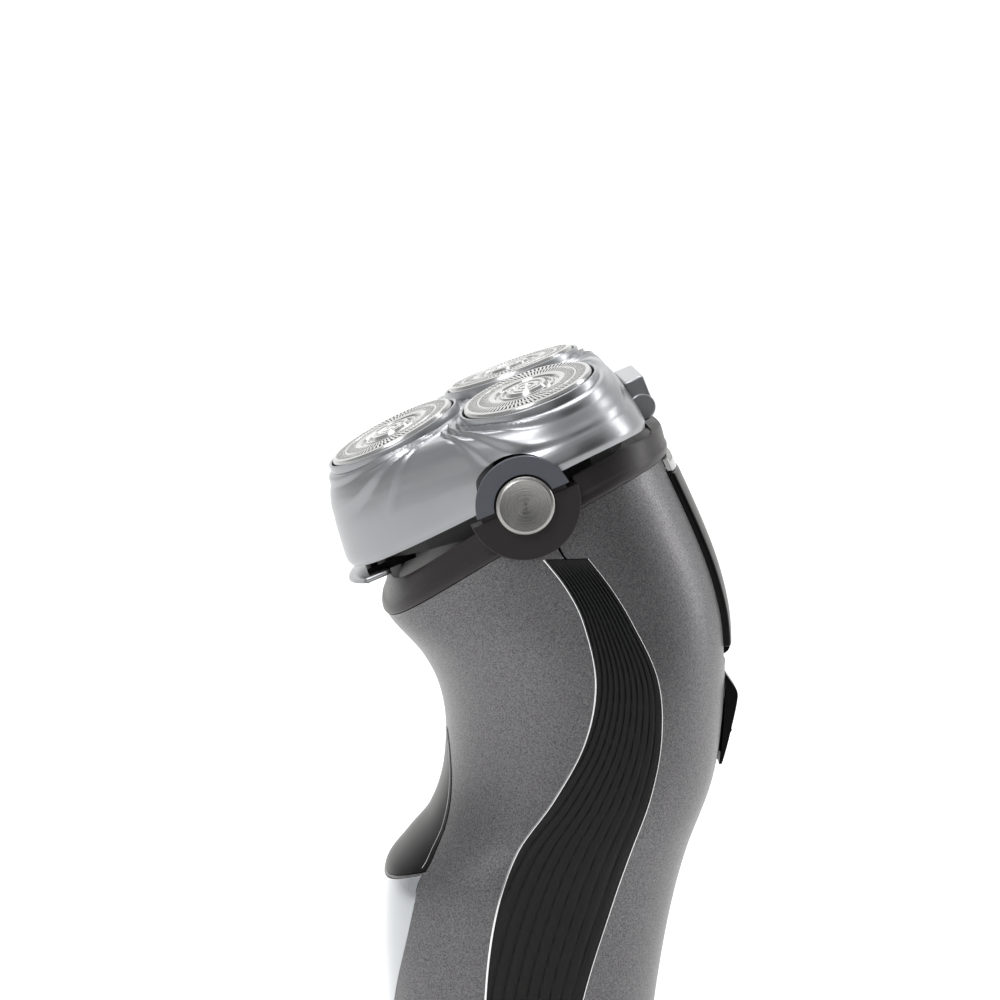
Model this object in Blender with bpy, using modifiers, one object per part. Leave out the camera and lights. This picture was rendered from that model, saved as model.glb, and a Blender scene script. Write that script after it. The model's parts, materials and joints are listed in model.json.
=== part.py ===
"""Three-head rotary electric shaver: a hand-held body with a tilting head and a pop-out trimmer.

Sizes are in millimetres and MM turns them into metres where a mesh or a place is made.
+Z is up the handle, +X is the rear (the trimmer side), -X is the thumb side, Y is across.
The origin is on the flat foot, under the middle of the whole object's box.
"""

import math

import bmesh
import bpy
from mathutils import Matrix, Vector

MM = 0.001
GAP = 0.3  # between pieces that fit together

# The handle: depth and half width at heights above the foot.
FRONT_EDGE = ((0, -20.5), (22, -23.9), (45, -25.6), (60, -26.2), (69, -25.0), (73.5, -21.6),
              (78, -17.8), (85, -15.3), (93, -14.9), (100, -16.2), (106, -19.3), (113, -25.2),
              (121, -27.0), (150, -27.0))
REAR_EDGE = ((0, 16.5), (25, 18.2), (44, 20.1), (60, 22.6), (72, 25.6), (84, 29.9), (94, 31.4),
             (106, 31.9), (114, 31.3), (124, 28.4), (140, 21.3), (150, 16.5))
HALF_WIDTH = ((0, 19.0), (20, 21.2), (45, 22.6), (70, 23.6), (95, 24.6), (112, 25.4), (130, 26.0),
              (150, 26.0))
SQUARENESS = 2.25  # 2 is an ellipse
WALL = 2.0
CAP_HEIGHT = 7.0
GRIP_FRONT = ((14, -8.6), (22, -9.6), (36, -10.4), (52, -10.5), (66, -8.8), (76, -5.4), (85, 0.6),
              (95, 5.6), (105, 7.2), (115, 5.1), (121, 2.1), (127, -2.6))
GRIP_REAR = ((14, -1.2), (22, 0.4), (36, 2.6), (52, 5.9), (66, 10.2), (76, 13.5), (85, 16.6),
             (95, 18.3), (105, 17.5), (115, 12.9), (121, 9.2), (127, 4.6))
GRIP_LOW = 15.0
GRIP_HIGH = 125.5
GRIP_DEPTH = 1.1

# The neck: two slanted, arched edges, as height at the front, rise to the rear and flank arch.
NECK_FRONT = -24.6
COLLAR_LOW = (113.2, 0.5786, 3.8)
COLLAR_HIGH = (118.7, 0.567, 4.8)
ARCH_WIDTH = 25.5

# The head, in its own frame: u rearwards, v across, w out through the guards, from the pivot.
PIVOT_X = -4.9
PIVOT_Z = 135.1
HEAD_TILT = math.radians(22)
HEAD_MIDDLE = 0.5
HEAD_MEAN = 27.3
HEAD_LOBE = 3.3
GUARD_RING = 15.3
GUARD_ANGLES = {"front": 180, "left": -60, "right": 60}
GUARD_TOP = 15.0
GUARD_SPLAY = math.radians(5)
GUARD_RADIUS = 11.1
BASE_SCALE = 0.81
HINGE_U = 25.0
HINGE_W = 3.2
PIN_RADIUS = 2.1
BOSS_RADIUS = 9.2
EAR_RADIUS = 8.0
CAP_RADIUS = 4.75
GEAR_TEETH = 18
GEAR_LOW = 1.8
GEAR_HIGH = 3.6

# The trimmer on the back, the thumb button and the window on the front.
TRIMMER_HINGE = (30.6, 107.0)
TRIMMER_PROUD = 1.1
TRIMMER_HALF = ((104, 8.5), (120, 10.5), (142, 12.5))
TRIMMER_TOP = 137.2
COMB_TOP = 139.4
BUTTON_HALF = ((68, 14.2), (72.4, 13.8), (77.6, 10.8), (83.6, 7.6), (88.6, 4.2), (92.6, 1.2))
WINDOW_HALF = ((33, 1.6), (40, 4.8), (48, 8.6), (57, 12.4), (65, 14.2), (71, 14.0))
BUTTON_SAG = 3.0  # how far the lower edge of the button drops in the middle

SMOOTH_ANGLE = math.radians(35)

FINISHES = {  # colour, metallic, roughness
    "grey_paint": ((0.33, 0.33, 0.34), 0.6, 0.4),
    "black_rubber": ((0.02, 0.02, 0.02), 0.0, 0.7),
    "black_gloss": ((0.01, 0.01, 0.01), 0.0, 0.15),
    "black_matt": ((0.02, 0.02, 0.02), 0.0, 0.5),
    "collar_brown": ((0.045, 0.038, 0.04), 0.0, 0.4),
    "silver_satin": ((0.62, 0.63, 0.65), 0.9, 0.3),
    "window": ((0.75, 0.77, 0.8), 0.3, 0.15),
    "steel": ((0.7, 0.7, 0.7), 1.0, 0.2),
    "aluminium": ((0.72, 0.72, 0.72), 1.0, 0.35),
    "gear_white": ((0.8, 0.8, 0.76), 0.0, 0.4),
    "board_green": ((0.02, 0.18, 0.06), 0.0, 0.4),
    "cell_blue": ((0.05, 0.16, 0.35), 0.0, 0.3),
    "brass": ((0.75, 0.55, 0.22), 1.0, 0.3),
}


def collection(name):
    made = bpy.data.collections.new(name)
    bpy.context.scene.collection.children.link(made)
    return made


def finish(name):
    """The material of one finish, made the first time that it is asked for."""
    if name in bpy.data.materials:
        return bpy.data.materials[name]
    colour, metallic, roughness = FINISHES[name]
    material = bpy.data.materials.new(name)
    material.use_nodes = True
    shader = material.node_tree.nodes["Principled BSDF"]
    shader.inputs["Base Color"].default_value = (*colour, 1)
    shader.inputs["Metallic"].default_value = metallic
    shader.inputs["Roughness"].default_value = roughness
    return material


def place(obj, where, home):
    where.objects.link(obj)
    obj.parent = home


def piece(name, mesh, look, home=None):
    """A finished sub-part, in the frame of its home empty."""
    obj = bpy.data.objects.new(name, mesh)
    place(obj, SHAVER, home)
    own = finish(look).copy()
    own.name = name
    mesh.materials.clear()
    mesh.materials.append(own)
    mesh.shade_smooth()
    mesh.set_sharp_from_angle(angle=SMOOTH_ANGLE)
    return obj


def helper(name, mesh, home=None):
    """A shape that only cuts or joins another."""
    obj = bpy.data.objects.new(name, mesh)
    place(obj, HELPERS, home)
    obj.hide_render = True
    obj.display_type = "WIRE"
    return obj


def combine(obj, other, operation):
    step = obj.modifiers.new(f"{operation.lower()}_{other.name}", "BOOLEAN")
    step.object = other
    step.operation = operation
    step.solver = "EXACT"


def cut(obj, *others):
    for other in others:
        combine(obj, other, "DIFFERENCE")


def join(obj, *others):
    for other in others:
        combine(obj, other, "UNION")


def to_mesh(name, bm):
    """Turns a bmesh in millimetres into a mesh in metres with its faces outward."""
    bmesh.ops.remove_doubles(bm, verts=bm.verts, dist=0.001)
    bmesh.ops.scale(bm, vec=Vector((MM, MM, MM)), verts=bm.verts)
    mesh = bpy.data.meshes.new(name)
    bm.to_mesh(mesh)
    bm.free()
    return mesh


def box(name, low, high):
    bm = bmesh.new()
    size = Vector(high) - Vector(low)
    middle = (Vector(high) + Vector(low)) / 2
    bmesh.ops.create_cube(bm, size=1, matrix=Matrix.Translation(middle) @ Matrix.Diagonal((*size, 1)))
    return to_mesh(name, bm)


def rod(name, radius, start, end, segments=24, end_radius=None):
    """A cylinder or a cone from start to end."""
    bm = bmesh.new()
    way = Vector(end) - Vector(start)
    turn = way.to_track_quat("Z", "Y").to_matrix().to_4x4()
    middle = (Vector(start) + Vector(end)) / 2
    bmesh.ops.create_cone(bm, cap_ends=True, segments=segments, radius1=radius,
                          radius2=radius if end_radius is None else end_radius,
                          depth=way.length, matrix=Matrix.Translation(middle) @ turn)
    return to_mesh(name, bm)


def profile_mesh(name, points):
    bm = bmesh.new()
    verts = [bm.verts.new((radius, 0, height)) for radius, height in points]
    for first, second in zip(verts, verts[1:]):
        bm.edges.new((first, second))
    return to_mesh(name, bm)


def turn(obj, steps=24):
    """Turns an open profile, from the axis to the axis or back to its start, about Z."""
    screw = obj.modifiers.new("turned", "SCREW")
    screw.steps = screw.render_steps = steps
    screw.use_merge_vertices = True
    screw.merge_threshold = 0.00001
    return obj


def plate(name, outline, low, high):
    """A flat outline given a thickness from low to high along Z."""
    curve = bpy.data.curves.new(name, "CURVE")
    curve.dimensions = "2D"
    curve.fill_mode = "BOTH"
    curve.extrude = (high - low) / 2 * MM
    spline = curve.splines.new("POLY")
    spline.points.add(len(outline) - 1)
    spline.use_cyclic_u = True
    for point, (x, y) in zip(spline.points, outline):
        point.co = (x * MM, y * MM, 0, 1)
    flat = bpy.data.objects.new(name, curve)
    HELPERS.objects.link(flat)
    bpy.context.view_layer.update()
    graph = bpy.context.evaluated_depsgraph_get()
    mesh = bpy.data.meshes.new_from_object(flat.evaluated_get(graph))
    bpy.data.objects.remove(flat)
    bm = bmesh.new()
    bm.from_mesh(mesh)
    bmesh.ops.remove_doubles(bm, verts=bm.verts, dist=0.00001)
    bmesh.ops.recalc_face_normals(bm, faces=bm.faces)
    bmesh.ops.translate(bm, vec=Vector((0, 0, (low + high) / 2 * MM)), verts=bm.verts)
    bm.to_mesh(mesh)
    bm.free()
    return mesh


def sheet(name, across, along, where):
    """An open grid whose corners where(s, t) places, with s and t from 0 to 1."""
    bm = bmesh.new()
    bmesh.ops.create_grid(bm, x_segments=across, y_segments=along, size=0.5)
    for vert in bm.verts:
        vert.co = where(vert.co.x + 0.5, vert.co.y + 0.5)
    return bm


def thicken(obj, wall):
    """Gives an open surface a wall, measured inward from its outer face."""
    solid = obj.modifiers.new("wall", "SOLIDIFY")
    solid.thickness = wall * MM
    solid.offset = -1
    solid.use_even_offset = True


def slab(name, across, along, where, push):
    """A closed patch: a grid pushed along one direction."""
    bm = sheet(name, across, along, where)
    faces = bmesh.ops.extrude_face_region(bm, geom=list(bm.faces))
    moved = [item for item in faces["geom"] if isinstance(item, bmesh.types.BMVert)]
    bmesh.ops.translate(bm, vec=Vector(push), verts=moved)
    bmesh.ops.recalc_face_normals(bm, faces=bm.faces)
    return to_mesh(name, bm)


def along(points, at):
    """A smooth curve through (place, value) points, read at one place."""
    at = min(max(at, points[0][0]), points[-1][0])
    right = next((i for i, (place_, _) in enumerate(points) if place_ >= at and i), 1)
    (x0, y0), (x1, y1) = points[right - 1], points[right]

    def slope(i):
        before, after = points[max(i - 1, 0)], points[min(i + 1, len(points) - 1)]
        return (after[1] - before[1]) / (after[0] - before[0])

    span = x1 - x0
    t = (at - x0) / span
    return (y0 * (1 + 2 * t) * (1 - t) ** 2 + y1 * t * t * (3 - 2 * t)
            + span * (slope(right - 1) * t * (1 - t) ** 2 - slope(right) * t * t * (1 - t)))


def section(height):
    """Middle, half depth and half width of the handle at a height."""
    front, rear = along(FRONT_EDGE, height), along(REAR_EDGE, height)
    return (rear + front) / 2, (rear - front) / 2, along(HALF_WIDTH, height)


def skin_y(x, height, proud=0.0):
    """Half width of the handle's skin at a depth."""
    middle, depth, width = section(height)
    inside = max(0.0, 1 - min(1.0, abs(x - middle) / depth) ** SQUARENESS)
    return width * inside ** (1 / SQUARENESS) + proud


def skin_x(y, height, side):
    """Depth of the handle's skin at a half width: side is -1 at the front, 1 at the rear."""
    middle, depth, width = section(height)
    inside = max(0.0, 1 - min(1.0, abs(y) / width) ** SQUARENESS)
    return middle + side * depth * inside ** (1 / SQUARENESS)


def neck_edge(edge, x, y):
    low, rise, arch = edge
    return low + rise * (x - NECK_FRONT) + arch * (y / ARCH_WIDTH) ** 2


def around(angle, height):
    middle, depth, width = section(height)
    cos, sin = math.cos(angle), math.sin(angle)
    power = 2 / SQUARENESS
    return (middle + depth * math.copysign(abs(cos) ** power, cos),
            width * math.copysign(abs(sin) ** power, sin))


def seam_angle(height, side):
    """Where the front and rear shells part, hidden under the grip."""
    seam = (along(GRIP_FRONT, height) + along(GRIP_REAR, height)) / 2 + side * GAP
    middle, depth, _ = section(height)
    ratio = (seam - middle) / depth
    return math.acos(math.copysign(abs(ratio) ** (SQUARENESS / 2), ratio))


def shell_point(side, s, t):
    """A point of the front (-1) or rear (1) shell's skin, between the foot cap and the collar."""
    low = CAP_HEIGHT + GAP
    height = low + t * 110
    for _ in range(14):
        seam = seam_angle(height, side)
        angle = seam + s * (2 * math.pi - 2 * seam) if side < 0 else seam * (2 * s - 1)
        x, y = around(angle, height)
        height = low + t * (neck_edge(COLLAR_LOW, x, y) + 0.8 - low)
    return x, y, height


def outline(scale, inset=0.0, count=30):
    """The head's rounded three-lobed plan, in u and v."""
    points = []
    for i in range(count):
        angle = 2 * math.pi * i / count
        radius = (HEAD_MEAN + HEAD_LOBE * math.cos(3 * angle - 3 * math.pi)) * scale - inset
        points.append((HEAD_MIDDLE + radius * math.cos(angle), radius * math.sin(angle)))
    return points


def cover_rim(u, v):
    return -1.4 + 0.074 * u + 3.4 * (v / 28) ** 2


def guard_centre(name):
    angle = math.radians(GUARD_ANGLES[name])
    return HEAD_MIDDLE + GUARD_RING * math.cos(angle), GUARD_RING * math.sin(angle)


def frames():
    """Empties: the head's tilt axis, and one on each guard's own axis."""
    head = bpy.data.objects.new("head_axis", None)
    SHAVER.objects.link(head)
    head.location = (PIVOT_X * MM, 0, PIVOT_Z * MM)
    head.rotation_euler = (0, -HEAD_TILT, 0)
    guards = {}
    for name, angle in GUARD_ANGLES.items():
        u, v = guard_centre(name)
        empty = bpy.data.objects.new(f"guard_axis_{name}", None)
        place(empty, SHAVER, head)
        empty.location = (u * MM, v * MM, GUARD_TOP * MM)
        empty.rotation_mode = "QUATERNION"
        turned = Matrix.Rotation(math.radians(angle), 4, "Z") @ Matrix.Rotation(GUARD_SPLAY, 4, "Y")
        empty.rotation_quaternion = turned.to_quaternion()
        guards[name] = empty
    bpy.context.view_layer.update()
    return head, guards


def grip_patch(name, side, grow, proud, depth):
    """The S-shaped inlay on a flank, grown by grow and pushed inward by depth."""
    def where(s, t):
        height = GRIP_LOW - grow + t * (GRIP_HIGH - GRIP_LOW + 2 * grow)
        x = (1 - s) * (along(GRIP_FRONT, height) - grow) + s * (along(GRIP_REAR, height) + grow)
        return x, side * skin_y(x, height, proud), height

    return slab(name, 4, 16, where, (0, -side * depth, 0))


def front_patch(name, half, low, high, grow, proud, depth):
    """A piece let into the front: its half widths at heights, pushed rearward by depth."""
    def where(s, t):
        across_ = 2 * s - 1
        bottom = low[0] - grow + low[1] * across_ ** 2
        top = high[0] + grow + high[1] * across_ ** 2
        height = bottom + t * (top - bottom)
        y = across_ * (along(half, height) + grow)
        return skin_x(y, height, -1) - proud, y, height

    return slab(name, 6, 7, where, (depth, 0, 0))


def rear_patch(name, half, low, high, grow, proud, depth):
    """A piece let into the rear, pushed forward by depth."""
    def where(s, t):
        height = low - max(grow, 0) + t * (high - low + 2 * max(grow, 0))
        y = (2 * s - 1) * (along(half, height) + grow)
        return skin_x(y, height, 1) + proud, y, height

    return slab(name, 6, 8, where, (-depth, 0, 0))


def button_mesh(name, grow, proud, depth):
    return front_patch(name, BUTTON_HALF, (68.2, BUTTON_SAG), (92.4, 0), grow, proud, depth)


def window_mesh(name, grow, proud, depth):
    return front_patch(name, WINDOW_HALF, (33.5, 0), (67.5, BUTTON_SAG), grow, proud, depth)


def neck_trim(s, t):
    """The surface just under the collar, where the shells stop."""
    x, y = 90 * s - 45, 80 * t - 40
    return x, y, neck_edge(COLLAR_LOW, x, y) - GAP


def housings():
    """The two shells of the handle, parted under the grips."""
    for name, side in (("front_housing", -1), ("rear_housing", 1)):
        bm = sheet(name, 15, 14, lambda s, t: shell_point(side, s, t))
        shell = piece(name, to_mesh(name, bm), "grey_paint")
        thicken(shell, WALL)
        for flank in (-1, 1):
            label = f"{name}_{flank}"
            cut(shell, helper(f"grip_room_{label}",
                              grip_patch(label, flank, GAP, 1.0, GRIP_DEPTH + GAP + 1.0)))
            cut(shell, helper(f"boss_room_{label}", boss_mesh(flank, BOSS_RADIUS + 0.4, 22.5, 32)))
        cut(shell, helper(f"neck_trim_{name}", slab("neck_trim", 8, 10, neck_trim, (0, 0, 14))))
        if side < 0:
            cut(shell, helper("button_room", button_mesh("button_room", GAP, 3, 12)),
                helper("window_room", window_mesh("window_room", GAP, 3, 4.3)))
        else:
            cut(shell, helper("trimmer_room",
                              rear_patch("trimmer_room", TRIMMER_HALF, 104.4, 146, 0.4, 3, 9)),
                helper("slide_room", box("slide_room", (22, -3.4, 87.5), (40, 3.4, 102.5))))


def boss_mesh(flank, radius, inner, outer):
    start = (PIVOT_X, flank * inner, PIVOT_Z)
    return rod("boss", radius, start, (PIVOT_X, flank * outer, PIVOT_Z), 32)


def grips():
    for name, side in (("grip_left", -1), ("grip_right", 1)):
        piece(name, grip_patch(name, side, 0, 0.15, GRIP_DEPTH), "black_rubber")


def foot_cap():
    """The end cap that closes both shells, with the charging inlet's hole."""
    ring = [around(2 * math.pi * i / 32, 0) for i in range(32)]
    body = plate("foot_cap", ring, 0, CAP_HEIGHT)
    middle, depth, width = section(0)
    top_middle, top_depth, top_width = section(CAP_HEIGHT)
    for vert in body.vertices:
        if vert.co.z > CAP_HEIGHT * MM / 2:
            vert.co.x = (vert.co.x - middle * MM) * top_depth / depth + top_middle * MM
            vert.co.y *= top_width / width
    cap = piece("foot_cap", body, "black_matt")
    inner = [((x + 2) * 0.87 - 2, y * 0.87) for x, y in ring]
    cut(cap, helper("cap_hollow", plate("cap_hollow", inner, 2.4, CAP_HEIGHT + 1)),
        helper("inlet_hole", box("inlet_hole", (-15.6, -5.6, -1), (-6.4, 5.6, 3))))
    inlet = piece("charging_inlet", box("charging_inlet", (-15.3, -5.3, 0.4), (-6.7, 5.3, 14)),
                  "black_matt")
    cut(inlet, helper("inlet_socket", box("inlet_socket", (-14, -4, -1), (-8, 4, 10))))
    for name, y in (("left", -2), ("right", 2)):
        piece(f"inlet_pin_{name}", rod(name, 0.7, (-11, y, 5.5), (-11, y, 9.7), 12), "brass")


def collar():
    """The dark bezel with the pivot ears and the neck plate under the head."""
    def where(s, t):
        angle = 2 * math.pi * s
        height = 125.0
        for _ in range(12):
            x, y = around(angle, height)
            height = neck_edge(COLLAR_LOW, x, y)
        spread = 1.014 - 0.045 * t * t
        x, y = (x + 1.0) * spread - 1.0, y * spread
        return x, y, height + t * (neck_edge(COLLAR_HIGH, x, y) - height)

    bm = sheet("collar", 32, 2, where)
    ring = piece("collar", to_mesh("collar", bm), "collar_brown")
    thicken(ring, 2.0)
    cut(ring, helper("collar_trim", slab("collar_trim", 8, 10, lambda s, t: (
        90 * s - 45, 80 * t - 40, neck_edge(COLLAR_LOW, 90 * s - 45, 80 * t - 40)), (0, 0, -14))))
    slope = math.atan(COLLAR_LOW[1])
    floor = [(26.4 + 25.6 * math.cos(2 * math.pi * i / 32), 23.1 * math.sin(2 * math.pi * i / 32))
             for i in range(32)]
    mesh = plate("neck_plate", floor, 0, 1.6)
    mesh.transform(Matrix.Translation((NECK_FRONT * MM, 0, (COLLAR_LOW[0] + 2.2) * MM))
                   @ Matrix.Rotation(-slope, 4, "Y"))
    join(ring, helper("neck_plate", mesh))
    for flank in (-1, 1):
        boss = helper(f"boss_{flank}", rod("boss", BOSS_RADIUS, (0, flank * 24.7, 0),
                                           (0, flank * 28.0, 0), 36), HEAD)
        cut(boss, helper(f"boss_top_{flank}", box("top", (-12, flank * 27 - 5, -0.3),
                                                  (12, flank * 27 + 5, 12)), HEAD))
        join(ring, boss, helper(f"ear_plate_{flank}", rod("ear", 7.4, (0, flank * 25.3, 0),
                                                          (0, flank * 27.8, 0), 36), HEAD))
    cut(ring, helper("drive_hole", rod("drive_hole", 4.4, (HEAD_MIDDLE, 0, -20),
                                       (HEAD_MIDDLE, 0, 2), 24), HEAD))
    for flank in (-1, 1):
        cut(ring, helper(f"pin_bore_{flank}", rod("bore", PIN_RADIUS + 0.2, (0, flank * 19, 0),
                                                  (0, flank * 33, 0), 16), HEAD))
        cut(ring, helper(f"lug_room_{flank}", rod("lug", 5.0, (0, flank * 19.5, 0),
                                                  (0, flank * 23.6, 0), 24), HEAD))


def pivots():
    """The steel pins that the head tilts on, and the turned discs that cover them."""
    for name, flank in (("left", -1), ("right", 1)):
        piece(f"pivot_pin_{name}", rod("pin", PIN_RADIUS, (0, flank * 20, 0), (0, flank * 28.1, 0),
                                       20), "steel", HEAD)
        disc = piece(f"pivot_cap_{name}", rod("disc", CAP_RADIUS, (0, flank * 28.3, 0),
                                              (0, flank * 30.1, 0), 24), "aluminium", HEAD)
        edge = disc.modifiers.new("rim", "BEVEL")
        edge.width = 0.4 * MM
        edge.segments = 1


def head_base():
    """The black hair chamber with its gear space, pivot lugs, chin and hinge block."""
    base = piece("head_base", plate("head_base", outline(BASE_SCALE), 0, 7), "black_matt", HEAD)
    skirt = helper("front_skirt", plate("front_skirt", outline(BASE_SCALE - 0.004), -4.0, 1.5), HEAD)
    cut(skirt, helper("skirt_end", box("skirt_end", (-6.5, -30, -6), (30, 30, 3)), HEAD))
    join(base, skirt,
         helper("hinge_block", box("hinge_block", (18.2, -6.4, 1.2), (21.7, 6.4, 4.6)), HEAD),
         helper("hinge_knuckle", rod("knuckle", 1.9, (HINGE_U, -3.6, HINGE_W),
                                     (HINGE_U, 3.6, HINGE_W), 20), HEAD),
         helper("hinge_web", box("hinge_web", (20.5, -3.6, 1.6), (HINGE_U, 3.6, 4.8)), HEAD))
    for flank in (-1, 1):
        join(base, helper(f"lug_{flank}", rod("lug", 4.2, (0, flank * 20.2, 0),
                                              (0, flank * 23.0, 0), 24), HEAD))
    inner = outline(BASE_SCALE, 0.9)
    cut(base, helper("chamber", plate("chamber", inner, 5.2, 8), HEAD),
        helper("gear_space", plate("gear_space", outline(BASE_SCALE, 0.9), -6, 4.2), HEAD),
        helper("hinge_bore", rod("bore", 1.1, (HINGE_U, -9, HINGE_W), (HINGE_U, 9, HINGE_W), 16),
               HEAD))
    for flank in (-1, 1):
        cut(base, helper(f"lug_bore_{flank}", rod("bore", PIN_RADIUS + 0.2, (0, flank * 18, 0),
                                                  (0, flank * 27, 0), 20), HEAD))
    for name in GUARD_ANGLES:
        u, v = guard_centre(name)
        cut(base, helper(f"spindle_bore_{name}", rod("bore", 1.8, (u, v, 3), (u, v, 6), 16), HEAD))
    cover_ = piece("gear_plate", plate("gear_plate", outline(BASE_SCALE, 1.2), 0.1, 0.9),
                   "black_matt", HEAD)
    cut(cover_, helper("shaft_hole", rod("hole", 2.2, (HEAD_MIDDLE, 0, -2), (HEAD_MIDDLE, 0, 2),
                                         16), HEAD))
    for flank in (-1, 1):
        cut(cover_, helper(f"lug_gap_{flank}", box("gap", (-4.8, flank * 21.4 - 1.8, -2),
                                                   (4.8, flank * 21.4 + 1.8, 2)), HEAD))


def head_cover():
    """The silver three-lobed cover that holds the guards, with its ears and hinge tab."""
    steps = ((0.985, 0, 1), (0.998, 1.0, 1), (0.992, 3.2, 0.8), (0.975, 6.0, 0.3), (0.95, 8.6, 0),
             (0.922, 10.8, 0), (0.88, 12.4, 0), (0.8, 13.2, 0), (0.45, 13.6, 0), (0.0, 13.7, 0))

    def where(s, t):
        scale, high, follow = steps[round(t * (len(steps) - 1))]
        angle = 2 * math.pi * s
        radius = (HEAD_MEAN + HEAD_LOBE * math.cos(3 * angle - 3 * math.pi)) * scale
        u, v = HEAD_MIDDLE + radius * math.cos(angle), radius * math.sin(angle)
        return u, v, high + cover_rim(u, v) * follow

    bm = sheet("head_cover", 33, len(steps) - 1, where)
    cover = piece("head_cover", to_mesh("head_cover", bm), "silver_satin", HEAD)
    thicken(cover, 1.8)
    for name, empty in GUARDS.items():
        join(cover, helper(f"ring_{name}", rod("ring", 11.95, (0, 0, -3.0), (0, 0, -0.8), 28), empty))
    for flank in (-1, 1):
        join(cover, helper(f"ear_{flank}", rod("ear", EAR_RADIUS, (0, flank * 26, 0),
                                               (0, flank * 29.5, 0), 28), HEAD))
        cut(cover, helper(f"ear_pocket_{flank}", rod("pocket", 7.9, (0, flank * 24, 0),
                                                     (0, flank * 28.35, 0), 28), HEAD),
            helper(f"ear_base_{flank}", box("ear_base", (-9.5, flank * 27 - 4, -9.5),
                                            (9.5, flank * 27 + 4, 0.8)), HEAD),
            helper(f"disc_room_{flank}", rod("room", CAP_RADIUS + 0.35, (0, flank * 26, 0),
                                             (0, flank * 31, 0), 24), HEAD))
    for name, empty in GUARDS.items():
        cut(cover, helper(f"guard_room_{name}", rod("room", GUARD_RADIUS + GAP, (0, 0, -6),
                                                    (0, 0, 2), 28), empty),
            helper(f"flange_room_{name}", rod("room", 12.0, (0, 0, -9), (0, 0, -3.3), 28), empty))
    join(cover, helper("tab", rod("tab", 2.3, (HINGE_U, -6.9, HINGE_W), (HINGE_U, 6.9, HINGE_W),
                                  24), HEAD),
         helper("tab_web", box("tab_web", (24.1, -6.7, HINGE_W), (27.1, 6.7, 8.2)), HEAD))
    cut(cover, helper("block_room", box("block_room", (17, -7.1, -4), (22.2, 7.1, 5.2)), HEAD),
        helper("hinge_room", box("hinge_room", (17.5, -3.95, -5), (31, 3.95, 5.9)), HEAD),
        helper("cover_bore", rod("bore", 1.1, (HINGE_U, -9, HINGE_W), (HINGE_U, 9, HINGE_W), 16),
               HEAD))
    piece("hinge_pin", rod("pin", 0.85, (HINGE_U, -6.8, HINGE_W), (HINGE_U, 6.8, HINGE_W), 12),
          "steel", HEAD)


def release_button():
    """The silver lip at the front that frees the cover, sliding under the chin."""
    lip = piece("release_button", box("lip", (-31.6, -8, -6.9), (-26.4, 8, -5.2)), "silver_satin",
                HEAD)
    join(lip, helper("lip_arm", box("arm", (-27.4, -6, -5.6), (-19, 6, -4.3)), HEAD),
         helper("lip_hook", box("hook", (-26.6, -5, -5.4), (-25.4, 5, -2.6)), HEAD))


def retaining_frame():
    """The spider that holds the guards in the cover, with its quarter-turn knob."""
    spider = piece("retaining_frame", plate("retaining_frame", outline(0.73), 7.4, 8.6),
                   "black_matt", HEAD)
    for name in GUARD_ANGLES:
        u, v = guard_centre(name)
        cut(spider, helper(f"frame_hole_{name}", rod("hole", 8.8, (u, v, 5), (u, v, 11), 20), HEAD))
    knob = piece("frame_knob", rod("knob", 2.6, (HEAD_MIDDLE, 0, 5.8), (HEAD_MIDDLE, 0, 7.1), 24),
                 "black_matt", HEAD)
    cut(spider, helper("knob_hole", rod("hole", 1.6, (HEAD_MIDDLE, 0, 5), (HEAD_MIDDLE, 0, 10),
                                        16), HEAD))
    join(knob, helper("knob_stem", rod("stem", 1.3, (HEAD_MIDDLE, 0, 6.5),
                                       (HEAD_MIDDLE, 0, 9.4), 16), HEAD))


def guards():
    """Three slotted caps that float in the cover, and the cutters that spin under them."""
    cap = ((0, 0.2), (3.2, 0.2), (3.6, -0.25), (6.2, -0.25), (6.6, 0), (10.3, 0), (11.1, -0.8),
           (11.1, -3.6), (11.7, -3.6), (11.7, -4.4), (10.2, -4.4), (10.2, -1.0), (0, -0.9))
    for name, empty in GUARDS.items():
        turn(piece(f"guard_{name}", profile_mesh("guard", cap), "steel", empty), 22)
        teeth = [(radius * math.cos(angle), radius * math.sin(angle))
                 for i in range(9) for radius, angle in
                 ((6.2, math.radians(40 * i)), (9.6, math.radians(40 * i + 4)),
                  (9.6, math.radians(40 * i + 17)), (6.2, math.radians(40 * i + 24)))]
        cutter = piece(f"cutter_{name}", plate("cutter", teeth, -3.0, -1.2), "steel", empty)
        join(cutter, helper(f"cutter_disc_{name}", rod("disc", 9.7, (0, 0, -3.6), (0, 0, -2.6), 18),
                            empty),
             helper(f"cutter_hub_{name}", rod("hub", 3.6, (0, 0, -6), (0, 0, -3.1), 12), empty))
        cut(cutter, helper(f"socket_{name}", rod("socket", 2.6, (0, 0, -8), (0, 0, -3.4), 12),
                           empty))


def gear_outline(middle, first):
    """Thin-toothed gear: tooth tips at equal angles from first, in degrees."""
    pitch = 360 / GEAR_TEETH
    tooth = ((6.95, -0.34), (8.0, -0.13), (8.0, 0.13), (6.95, 0.34))
    return [(middle[0] + radius * math.cos(math.radians(first + pitch * (i + part))),
             middle[1] + radius * math.sin(math.radians(first + pitch * (i + part))))
            for i in range(GEAR_TEETH) for radius, part in tooth]


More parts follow.
